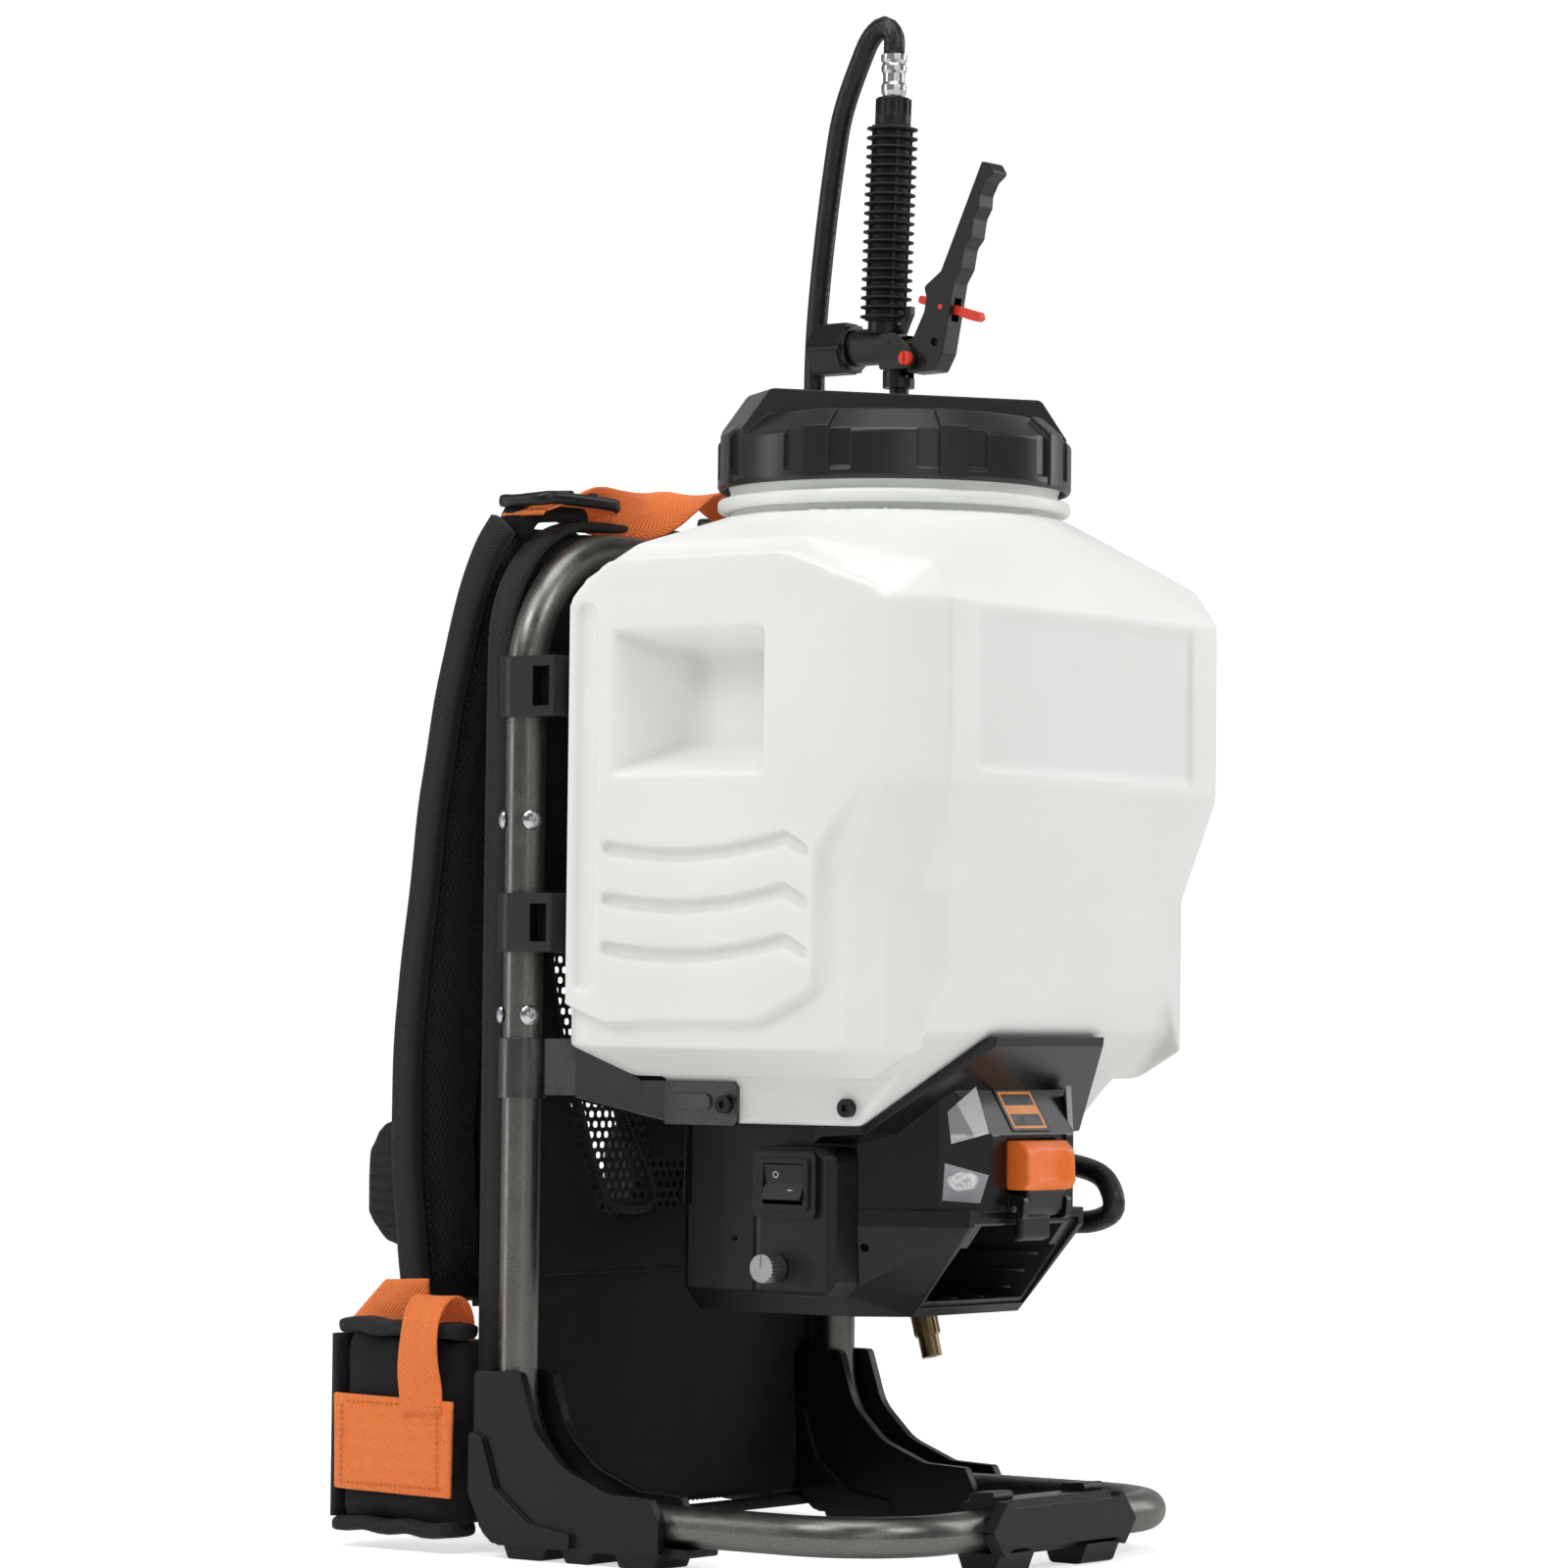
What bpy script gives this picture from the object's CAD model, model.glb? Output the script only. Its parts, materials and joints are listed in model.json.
"""A backpack tank on a tube frame, with a battery bay, hoses and a padded harness.

It stands on z = 0. The tank is on the -Y side and the wearer's back on the +Y side; left is -X.
Places go through point(), in mm from the mid plane (x = 0) and the plane of the upright
tubes (y = 0). Sections, offsets and other sizes are in metres.
"""
import json
import math
from bisect import bisect_left

import bpy
import bmesh
from mathutils import Matrix, Vector, noise


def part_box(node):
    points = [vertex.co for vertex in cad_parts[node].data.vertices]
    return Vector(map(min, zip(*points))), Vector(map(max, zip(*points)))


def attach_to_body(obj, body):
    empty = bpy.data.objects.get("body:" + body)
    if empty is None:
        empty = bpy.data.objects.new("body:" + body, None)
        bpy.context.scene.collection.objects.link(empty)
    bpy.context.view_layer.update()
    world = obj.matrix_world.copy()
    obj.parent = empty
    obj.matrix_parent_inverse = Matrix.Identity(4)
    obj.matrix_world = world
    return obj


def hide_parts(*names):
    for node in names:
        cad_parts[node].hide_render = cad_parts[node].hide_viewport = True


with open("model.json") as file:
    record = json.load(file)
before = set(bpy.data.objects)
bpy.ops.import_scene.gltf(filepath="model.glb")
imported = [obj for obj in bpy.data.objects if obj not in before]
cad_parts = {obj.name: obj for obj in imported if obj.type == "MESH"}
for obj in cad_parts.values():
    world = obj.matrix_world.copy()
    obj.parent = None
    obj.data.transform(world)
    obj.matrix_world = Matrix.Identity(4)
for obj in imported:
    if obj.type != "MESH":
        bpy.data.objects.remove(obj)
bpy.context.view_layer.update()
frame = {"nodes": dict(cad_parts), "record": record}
nodes = frame["nodes"]
slots = {part["node"]: part["material_slot"] for part in frame["record"]["subparts"]}

NECK_Y = -123  # mm, the tank's neck and lid stand this far from the upright tubes
lid_low, lid_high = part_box("lid_cap")
MID_X = (lid_low[0] + lid_high[0]) / 2
TUBES_Y = (lid_low[1] + lid_high[1]) / 2 - NECK_Y / 1000
LENS_SPLIT_Z = 0.1925  # the upper window lenses lie above this height, the lower ones below

X_AXIS, Y_AXIS, Z_AXIS = Vector((1, 0, 0)), Vector((0, 1, 0)), Vector((0, 0, 1))
SIDES = (-1, 1)  # left, right


def point(x, y, z):
    """A place in metres from mm in the design's own frame."""
    return Vector((x / 1000 + MID_X, y / 1000 + TUBES_Y, z / 1000))


# ---------------------------------------------------------------- material nodes
materials = {}


class Material:
    """A node material, filed in materials, with short calls for the nodes used here."""

    def __init__(self, name):
        data = bpy.data.materials.new(name)
        data.use_nodes = True
        materials[name] = data
        self.tree = data.node_tree
        self.shader = self.tree.nodes["Principled BSDF"]
        coords = self.node("TexCoord")
        self.place = coords.outputs["Object"]
        self.uv = coords.outputs["UV"]

    def node(self, kind, inputs=None, **settings):
        made = self.tree.nodes.new("ShaderNode" + kind)
        for key, value in settings.items():
            setattr(made, key, value)
        for key, value in (inputs or {}).items():
            self.put(made.inputs[key], value)
        return made

    def put(self, socket, value):
        """Link a socket or set a value; None leaves the input as it is."""
        if isinstance(value, bpy.types.NodeSocket):
            self.tree.links.new(value, socket)
        elif value is not None:
            socket.default_value = value

    def set(self, **values):
        """Shader inputs by name, with _ for a space."""
        for key, value in values.items():
            self.put(self.shader.inputs[key.replace("_", " ")], value)

    def noise(self, scale, detail=2.0, rough=0.5, coords=None):
        return self.node("TexNoise", {"Vector": coords or self.place, "Scale": scale,
                                      "Detail": detail, "Roughness": rough}).outputs[0]

    def cells(self, scale, output="Distance"):
        made = self.node("TexVoronoi", {"Vector": self.place, "Scale": scale}, feature="F1")
        return made.outputs[output]

    def remap(self, value, source=(0.3, 0.7), to=(0, 1)):
        return self.node("MapRange", dict(enumerate((value, *source, *to)))).outputs[0]

    def math(self, operation, first, second=0.0):
        return self.node("Math", {0: first, 1: second}, operation=operation).outputs[0]

    def add(self, first, second):
        return self.math("ADD", first, second)

    def sub(self, first, second):
        return self.math("SUBTRACT", first, second)

    def mul(self, first, second):
        return self.math("MULTIPLY", first, second)

    def split(self, vector):
        return self.node("SeparateXYZ", {0: vector}).outputs

    def mix(self, factor, first, second):
        colors = [color if isinstance(color, bpy.types.NodeSocket) else (*color[:3], 1)
                  for color in (first, second)]
        made = self.node("Mix", {0: factor}, data_type="RGBA")
        self.put(made.inputs[6], colors[0])
        self.put(made.inputs[7], colors[1])
        return made.outputs[2]

    def tones(self, field, color, vary):
        """The colour a share vary darker to lighter over a noise field."""
        return self.mix(self.remap(field), tint(color, 1 - vary), tint(color, 1 + vary))

    def bevel(self, radius):
        return self.node("Bevel", {"Radius": radius}, samples=4).outputs[0]

    def bump(self, height, strength, depth, normal=None):
        return self.node("Bump", {"Strength": strength, "Distance": depth, "Height": height,
                                  "Normal": normal}).outputs[0]

    def edge(self, bevel):
        """1 on the rounded edges, 0 on flat faces."""
        normal = self.node("NewGeometry").outputs["Normal"]
        dot = self.node("VectorMath", {0: bevel, 1: normal}, operation="DOT_PRODUCT")
        return self.remap(dot.outputs["Value"], (0.995, 0.86))


def tint(color, factor, lift=0.0):
    return [min(1, c * factor + lift) for c in color]


# ---------------------------------------------------------------- material kinds
def plastic(name, color, rough, grain=1500, relief=0.25, edge=0.0006, vary=0.15,
            specular=0.42, wear=0.3, ripple=0.05, blotch=1.0):
    """Moulded plastic: fine grain of depth relief, slow ripple, edges of radius edge worn pale."""
    mat = Material(name)
    broad = mat.noise(22, detail=3)
    blotches = mat.noise(140, detail=3)
    fine = mat.noise(grain, rough=0.6)
    base = mat.tones(broad, color, vary)
    normal = None
    if edge > 0:
        normal = mat.bevel(edge)
        base = mat.mix(mat.mul(mat.edge(normal), wear), base, tint(color, 1.6, lift=0.012))
    rough_range = (rough - 0.06 * blotch, rough + 0.07 * blotch)
    rippled = mat.bump(mat.noise(260), strength=ripple, depth=0.0006, normal=normal)
    mat.set(Base_Color=base, Roughness=mat.remap(blotches, to=rough_range),
            Normal=mat.bump(fine, strength=relief, depth=0.00025, normal=rippled),
            Specular_IOR_Level=specular)


def metal(name, color, rough, flake=0.0, edge=0.0004, brushed=None, vary=0.06):
    """Metal or metallic coat; flake is the share of bright specks, brushed a noise scale per axis."""
    mat = Material(name)
    base = mat.tones(mat.noise(35, detail=3), color, vary)
    normal = mat.bevel(edge) if edge else None
    if flake:
        speck = mat.split(mat.cells(2600, output="Color"))[0]
        base = mat.mix(mat.remap(speck, (0.55, 1.0), (0, flake)), base,
                       tint(color, 2.1, lift=0.05))
        normal = mat.bump(mat.noise(900), strength=0.10, depth=0.0002, normal=normal)
    if brushed:
        stretched = mat.node("Mapping", {"Vector": mat.place, "Scale": brushed}).outputs[0]
        lines = mat.noise(1.0, detail=3, coords=stretched)
        normal = mat.bump(lines, strength=0.35, depth=0.0002, normal=normal)
    rough_range = (rough - 0.05, rough + 0.07)
    mat.set(Base_Color=base, Metallic=1.0, Normal=normal,
            Roughness=mat.remap(mat.noise(120, detail=3), to=rough_range))


def rubber(name, rough, braided=False):
    mat = Material(name)
    color = (0.006, 0.006, 0.0068)
    dust = mat.remap(mat.noise(70, detail=4), (0.45, 0.8), (0, 0.5))
    mat.set(Base_Color=mat.mix(dust, color, tint(color, 2.2, lift=0.01)),
            Roughness=mat.remap(mat.noise(200, detail=3), to=(rough - 0.08, rough + 0.08)))
    normal = mat.bump(mat.noise(1200), strength=0.3, depth=0.0002, normal=mat.bevel(0.0004))
    if braided:  # faint fabric braid showing through the hose cover
        run, around, _ = mat.split(mat.uv)
        slant, density = 1.3, 1500  # sideways share of each thread, radians per metre
        threads = [mat.math("SINE", mat.mul(mat.math(way, run, mat.mul(around, slant)), density))
                   for way in ("ADD", "SUBTRACT")]
        normal = mat.bump(mat.add(*threads), strength=0.12, depth=0.0003, normal=normal)
    mat.set(Normal=normal)


def weave_height(mat, across, up, period):
    """Plain weave over two coordinates, period in metres."""
    turn = 2 * math.pi / period
    sines = [mat.math("SINE", mat.mul(c, turn)) for c in (across, up)]
    threads = [mat.math("ABSOLUTE", mat.math("COSINE", mat.mul(c, turn / 2)))
               for c in (across, up)]
    over = mat.math("GREATER_THAN", mat.mul(*sines), 0.0)
    return mat.add(mat.mul(over, threads[0]), mat.mul(mat.sub(1.0, over), threads[1]))


# how a cloth reads its level coordinate: main axis, other axis and its share
FACING_Y = (0, 1, 0.35)
FACING_X = (1, 0, 0.6)


def cloth(name, color, period, facing, sheen, vary=0.18):
    mat = Material(name)
    axes = mat.split(mat.place)
    main, other, share = facing
    height = weave_height(mat, mat.add(axes[main], mat.mul(axes[other], share)), axes[2], period)
    base = mat.tones(mat.noise(16, detail=4), color, vary)
    base = mat.mix(mat.remap(height, (0.0, 1.0), (0.55, 0.0)), base, tint(color, 0.3))
    fuzz = mat.remap(mat.noise(900, detail=3), (0.6, 0.8), (0, 0.25))
    base = mat.mix(fuzz, base, tint(color, 1.8, lift=0.02))
    creases = mat.bump(mat.noise(90, detail=3), strength=0.35, depth=0.0012)
    mat.set(Base_Color=base, Roughness=0.8,
            Normal=mat.bump(height, strength=0.6, depth=0.0004, normal=creases),
            Sheen_Weight=sheen, Sheen_Roughness=0.4, Specular_IOR_Level=0.3)


def spacer_mesh(name, color):
    """Air mesh over foam: slanting rows of round cells over a fine weave."""
    cell_pitch, weave_period = 0.0034, 0.0008
    slant = 0.577  # tan 30 degrees
    mat = Material(name)
    x, _, z = mat.split(mat.place)
    rows = [mat.math("SINE", mat.mul(mat.math(way, x, mat.mul(z, slant)), math.pi / cell_pitch))
            for way in ("ADD", "SUBTRACT")]
    cell = mat.math("ABSOLUTE", mat.mul(*rows))
    weave = weave_height(mat, x, z, weave_period)
    walls = mat.mul(mat.remap(cell, (0.15, 0.6), (1.0, 0.0)), 1.0)
    height = mat.add(walls, mat.mul(weave, 0.25))
    base = mat.mix(mat.remap(cell, (0.2, 0.7), (0, 0.8)), color, tint(color, 0.25))
    dust = mat.remap(mat.noise(18, detail=4), (0.35, 0.7), (0, 0.5))
    creases = mat.bump(mat.noise(80, detail=3), strength=0.3, depth=0.001)
    mat.set(Base_Color=mat.mix(dust, base, tint(color, 1.5)), Roughness=0.85,
            Normal=mat.bump(height, strength=0.7, depth=0.0008, normal=creases),
            Sheen_Weight=0.12, Specular_IOR_Level=0.25)


def woven_strap(name, color, rib, sheen, rough, glow=False):
    """Flat strap: ribs and chevrons from the UV's run and width, both in metres."""
    chevron_width, chevron_slant, thread = 0.0042, 0.9, 0.0011
    mat = Material(name)
    run, width, _ = mat.split(mat.uv)
    zigzag = mat.math("PINGPONG", width, chevron_width)
    slanted = mat.add(run, mat.mul(zigzag, chevron_slant))
    chevron = mat.math("SINE", mat.mul(slanted, 2 * math.pi / rib))
    cross = mat.math("SINE", mat.mul(width, 2 * math.pi / thread))
    height = mat.add(mat.remap(chevron, (-1, 1)), mat.mul(mat.remap(cross, (-1, 1)), 0.35))
    base = mat.mix(mat.remap(mat.noise(24, detail=4), (0.3, 0.75)),
                   tint(color, 0.93), tint(color, 1.06))
    base = mat.mix(mat.remap(height, (0.0, 0.9), (0.34, 0.0)), base, tint(color, 0.55))
    mat.set(Base_Color=base, Roughness=rough, Sheen_Weight=sheen, Specular_IOR_Level=0.35,
            Normal=mat.bump(height, strength=0.75, depth=0.0007))
    if glow:  # thin bright webbing glows a little where light comes through it
        mat.set(Subsurface_Weight=0.35, Subsurface_Radius=(1.0, 0.45, 0.2),
                Subsurface_Scale=0.004, Emission_Color=(1.0, 0.16, 0.03, 1),
                Emission_Strength=0.09)


def tank_plastic(name, glow=0.0):
    """Milky tank shell, greyer in its hollows."""
    mat = Material(name)
    base = mat.mix(mat.remap(mat.noise(9, detail=3)), (0.83, 0.85, 0.805), (0.88, 0.895, 0.86))
    shade = mat.node("AmbientOcclusion", {"Distance": 0.008}, samples=8, only_local=True)
    hollow = mat.remap(shade.outputs["AO"], (0.45, 0.98), (1.0, 0.0))
    base = mat.mix(mat.mul(hollow, 0.6), base, (0.58, 0.605, 0.555))
    waves = mat.bump(mat.noise(38, detail=3), strength=0.10, depth=0.0012)
    mat.set(Base_Color=base, Roughness=mat.remap(mat.noise(60, detail=4), to=(0.34, 0.46)),
            Normal=mat.bump(mat.noise(1300), strength=0.10, depth=0.0002, normal=waves),
            Subsurface_Weight=0.28, Subsurface_Radius=(1.0, 1.0, 0.92),
            Subsurface_Scale=0.0035, Specular_IOR_Level=0.45)
    if glow:  # light piped up the shell wall comes out of the neck under the lid
        mat.set(Emission_Color=(0.95, 1.0, 0.93, 1), Emission_Strength=glow)


def lens_extent(upper):
    """Middle and half size of the left upper or lower window lens."""
    corners = [v.co for v in nodes["window_lenses"].data.vertices
               if (v.co.z > LENS_SPLIT_Z) == upper and v.co.x < MID_X]
    spans = [(min(c[k] for c in corners), max(c[k] for c in corners)) for k in range(3)]
    return [(lo + hi) / 2 for lo, hi in spans], [(hi - lo) / 2 for lo, hi in spans]


def clear_lens(name):
    """Clear cover over a crumpled bright reflector."""
    mat = Material(name)
    centre, half = lens_extent(upper=False)
    _, y, z = mat.split(mat.place)
    wobble = mat.mul(mat.sub(mat.noise(260), 0.5), 0.9)
    # an oval a little above the lens's middle, in shares of its half size
    level = mat.mul(mat.sub(y, centre[1]), 1 / (half[1] * 0.62))
    height = mat.mul(mat.sub(z, centre[2] + half[2] * 0.10), 1 / (half[2] * 0.52))
    oval = mat.add(mat.add(mat.mul(level, level), mat.mul(height, height)), wobble)
    reflector = mat.remap(oval, (0.75, 1.05), (1.0, 0.0))
    crumple = mat.mul(mat.cells(420), reflector)
    white = mat.mix(mat.remap(mat.noise(520, detail=3), (0.35, 0.65)),
                    (0.50, 0.51, 0.53), (0.97, 0.97, 0.97))
    clear = mat.mix(mat.remap(z, (centre[2] - half[2], centre[2] + half[2])),
                    (0.27, 0.275, 0.29), (0.40, 0.41, 0.43))
    mat.set(Base_Color=mat.mix(reflector, clear, white),
            Roughness=mat.remap(reflector, (0, 1), (0.10, 0.3)),
            Normal=mat.bump(crumple, strength=0.8, depth=0.0014),
            Coat_Weight=1.0, Coat_Roughness=0.04)


def frosted_lens(name):
    """Pale diffuser with one darker facet and a bright foot."""
    mat = Material(name)
    centre, half = lens_extent(upper=True)
    _, y, z = mat.split(mat.place)
    level = mat.mul(mat.sub(y, centre[1]), 1 / half[1])
    height = mat.mul(mat.sub(z, centre[2]), 1 / half[2])
    facet = mat.remap(mat.add(mat.mul(level, 1.25), mat.mul(height, -0.85)), (0.10, 0.16))
    foot = mat.remap(height, (-0.74, -0.62), (1, 0))
    light = mat.mix(mat.remap(height, (-1, 1)), (0.66, 0.67, 0.68), (0.50, 0.51, 0.52))
    base = mat.mix(facet, light, (0.27, 0.275, 0.28))
    patchy = mat.remap(mat.noise(300), to=(0.2, 0.9))
    grain = mat.bump(mat.noise(700), strength=0.12, depth=0.0003, normal=mat.bevel(0.0005))
    mat.set(Base_Color=mat.mix(mat.mul(foot, patchy), base, (0.85, 0.86, 0.87)),
            Roughness=0.20, Normal=grain, Coat_Weight=1.0, Coat_Roughness=0.05)


def printed_label(name):
    """Printed film: orange rule and middle band on black, no lettering."""
    mat = Material(name)
    low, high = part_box("label_plate")
    x, _, z = mat.split(mat.place)
    aside = mat.math("ABSOLUTE", mat.remap(x, (low[0], high[0]), (-1, 1)))
    up = mat.remap(z, (low[2], high[2]))

    def between(bottom, top):
        return mat.mul(mat.math("GREATER_THAN", up, bottom), mat.math("LESS_THAN", up, top))

    def panel(half_width, bottom, top):
        return mat.mul(mat.math("LESS_THAN", aside, half_width), between(bottom, top))

    band = between(0.41, 0.60)
    outer = panel(0.86, 0.10, 0.90)
    rule = mat.sub(outer, panel(0.76, 0.155, 0.845))
    ink = mat.math("MINIMUM", mat.math("MAXIMUM", rule, mat.mul(band, outer)), 1.0)
    orange = mat.mix(mat.remap(mat.noise(90)), (0.86, 0.25, 0.03), (0.95, 0.32, 0.05))
    grain = mat.bump(mat.noise(1500), strength=0.15, depth=0.0002, normal=mat.bevel(0.0004))
    mat.set(Base_Color=mat.mix(ink, (0.004, 0.004, 0.0045), orange), Normal=grain,
            Roughness=mat.remap(mat.noise(200), to=(0.3, 0.42)))


# ---------------------------------------------------------------- the materials
metal("frame_coat", (0.165, 0.163, 0.150), rough=0.36, flake=0.35, edge=0)
plastic("black_plastic", (0.0052, 0.0054, 0.0062), rough=0.38, relief=0.10, edge=0.0007,
        vary=0.05, ripple=0.01, blotch=0.3)
plastic("foot_plastic", (0.0056, 0.0057, 0.0064), rough=0.36, grain=1100, relief=0.14,
        edge=0.0011, vary=0.05, wear=0.6, ripple=0.01, specular=0.3, blotch=0.3)
plastic("lid_plastic", (0.0135, 0.0138, 0.0148), rough=0.33, grain=1300, relief=0.10,
        edge=0.0011, vary=0.05, specular=0.5, wear=0.9, ripple=0.01, blotch=0.2)
plastic("gloss_black", (0.0045, 0.0047, 0.0056), rough=0.29, grain=1700, relief=0.03,
        edge=0.0007, vary=0.03, wear=0.35, ripple=0.0, blotch=0.1)
plastic("bay_plastic", (0.026, 0.0262, 0.028), rough=0.24, relief=0.05, vary=0.04,
        ripple=0.0, blotch=0.2)
metal("steel_strap", (0.105, 0.105, 0.104), rough=0.33, flake=0.25, edge=0.0007)
metal("zinc", (0.60, 0.61, 0.62), rough=0.26, edge=0.0003)
metal("chrome_ferrule", (0.66, 0.66, 0.64), rough=0.27, edge=0, vary=0.02)
metal("black_steel", (0.045, 0.045, 0.047), rough=0.38)
rubber("rubber", rough=0.62)
rubber("hose_rubber", rough=0.40, braided=True)
plastic("orange_plastic", (0.93, 0.185, 0.022), rough=0.34, grain=1400, relief=0.3,
        edge=0.0010, vary=0.06, wear=0.2)
plastic("red_plastic", (0.80, 0.045, 0.022), rough=0.32, grain=1300, edge=0.0005,
        vary=0.06, wear=0.2)
clear_lens("lens_clear")
frosted_lens("lens_diffuser")
printed_label("label_print")
metal("alu_knob", (0.50, 0.50, 0.49), rough=0.27, edge=0.0003, brushed=(300, 40, 40))
metal("brass", (0.27, 0.195, 0.10), rough=0.30, vary=0.2)
plastic("pcb", (0.01, 0.13, 0.05), rough=0.3, edge=0.0003)
plastic("strainer", (0.55, 0.56, 0.54), rough=0.45, edge=0.0004, vary=0.05)
tank_plastic("tank_hdpe")
tank_plastic("tank_neck", glow=0.14)
cloth("pad_fabric", (0.0052, 0.0055, 0.0075), period=0.0012, facing=FACING_Y, sheen=0.03)
cloth("belt_fabric", (0.0075, 0.0077, 0.0092), period=0.0012, facing=FACING_X, sheen=0.05)
cloth("mesh_fabric", (0.008, 0.008, 0.009), period=0.0007, facing=FACING_Y, sheen=0.1)
spacer_mesh("spacer_fabric", (0.0125, 0.0128, 0.0145))
woven_strap("binding", (0.0085, 0.0087, 0.0102), rib=0.0021, sheen=0.07, rough=0.7)
woven_strap("webbing", (1.0, 0.232, 0.044), rib=0.0023, sheen=0.12, rough=0.62, glow=True)
cloth("thread_black", (0.028, 0.028, 0.03), period=0.0004, facing=FACING_Y, sheen=0.1)
cloth("thread_orange", (0.88, 0.22, 0.045), period=0.0004, facing=FACING_X, sheen=0.1,
      vary=0.05)
plastic("ink_white", (0.72, 0.72, 0.70), rough=0.4, edge=0, vary=0.03)

# slots whose material bears the slot's own name, then the two that don't
SLOT_MATERIALS = {slot: slot for slot in (
    "frame_coat", "black_plastic", "gloss_black", "steel_strap", "zinc", "black_steel",
    "rubber", "orange_plastic", "red_plastic", "alu_knob", "brass", "pcb", "strainer",
    "tank_hdpe", "pad_fabric", "mesh_fabric", "spacer_fabric", "webbing")}
SLOT_MATERIALS.update(lens="lens_clear", label="label_print")
# pieces that don't take their slot's material
NODE_MATERIALS = {
    "lid_cap": "lid_plastic", "corner_foot_left": "foot_plastic",
    "corner_foot_right": "foot_plastic", "front_foot": "foot_plastic",
    "hose_ferrule": "chrome_ferrule", "battery_bay_liner": "bay_plastic",
    "terminal_block": "bay_plastic", "ribbed_grip": "rubber", "delivery_hose": "hose_rubber"}


def add_upper_material(mesh, material, split_z):
    """A further material for the faces above a height."""
    mesh.materials.append(materials[material])
    for face in mesh.polygons:
        face.material_index = 1 if face.center.z > split_z else 0


for name, node in nodes.items():
    slot = slots.get(name, "black_plastic")
    material = NODE_MATERIALS.get(name, SLOT_MATERIALS.get(slot, "black_plastic"))
    node.data.materials.clear()
    node.data.materials.append(materials[material])
add_upper_material(nodes["window_lenses"].data, "lens_diffuser", LENS_SPLIT_Z)


# ---------------------------------------------------------------- mesh tools
def link(obj):
    bpy.context.scene.collection.objects.link(obj)
    return obj


def attach(obj, replaces=None, body="root"):
    """Tell the frame what the piece stands for and the body it moves with."""
    if replaces:
        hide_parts(replaces)
    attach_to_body(obj, body)
    return obj


def smooth_all(mesh):
    mesh.polygons.foreach_set("use_smooth", [True] * len(mesh.polygons))
    mesh.update()


def turn_outward(mesh, weld=0.0):
    """Welds points nearer than weld and turns all normals outward."""
    work = bmesh.new()
    work.from_mesh(mesh)
    if weld:
        bmesh.ops.remove_doubles(work, verts=work.verts, dist=weld)
    bmesh.ops.recalc_face_normals(work, faces=work.faces)
    work.to_mesh(mesh)
    work.free()


def build(name, verts, faces, used, uvs=None, outward=True):
    """A smooth object; used are its materials, uvs one pair per face corner."""
    mesh = bpy.data.meshes.new(name)
    mesh.from_pydata([tuple(v) for v in verts], [], faces)
    if uvs is not None:
        layer = mesh.uv_layers.new(name="UVMap")
        layer.data.foreach_set("uv", [c for uv in uvs for c in uv])
    for material in used:
        mesh.materials.append(material)
    smooth_all(mesh)
    if outward:
        turn_outward(mesh)
    return link(bpy.data.objects.new(name, mesh))


def apply_modifiers(obj):
    graph = bpy.context.evaluated_depsgraph_get()
    graph.update()
    mesh = bpy.data.meshes.new_from_object(obj.evaluated_get(graph))
    used = list(obj.data.materials)
    old = obj.data
    obj.modifiers.clear()
    obj.data = mesh
    mesh.materials.clear()
    for material in used:
        mesh.materials.append(material)
    if old.users == 0:
        bpy.data.meshes.remove(old)


def voxel_copy(node, name, material, voxel, smoothing=0):
    """A copy of a CAD piece, remeshed evenly and smoothed."""
    obj = bpy.data.objects.new(name, nodes[node].data.copy())
    obj.data.materials.clear()
    obj.data.materials.append(materials[material])
    link(obj)
    turn_outward(obj.data, weld=1e-5)
    remesh = obj.modifiers.new("remesh", "REMESH")
    remesh.mode = "VOXEL"
    remesh.voxel_size = voxel
    if smoothing:
        add_smooth(obj, smoothing)
    apply_modifiers(obj)
    return obj


def add_smooth(obj, iterations, group=""):
    smooth = obj.modifiers.new("smooth", "SMOOTH")
    smooth.factor = 0.5
    smooth.iterations = iterations
    smooth.vertex_group = group


def add_subdivision(obj):
    subdivision = obj.modifiers.new("subdivision", "SUBSURF")
    subdivision.levels = subdivision.render_levels = 1


def run_lengths(points):
    """Distance along the line at each point."""
    lengths = [0.0]
    for a, b in zip(points, points[1:]):
        lengths.append(lengths[-1] + (b - a).length)
    return lengths


def locate(lengths, distance):
    """The segment a distance falls in, and how far along it as a share."""
    k = min(bisect_left(lengths, distance, 1) - 1, len(lengths) - 2)
    share = (distance - lengths[k]) / max(lengths[k + 1] - lengths[k], 1e-9)
    return k, min(max(share, 0), 1)


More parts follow.
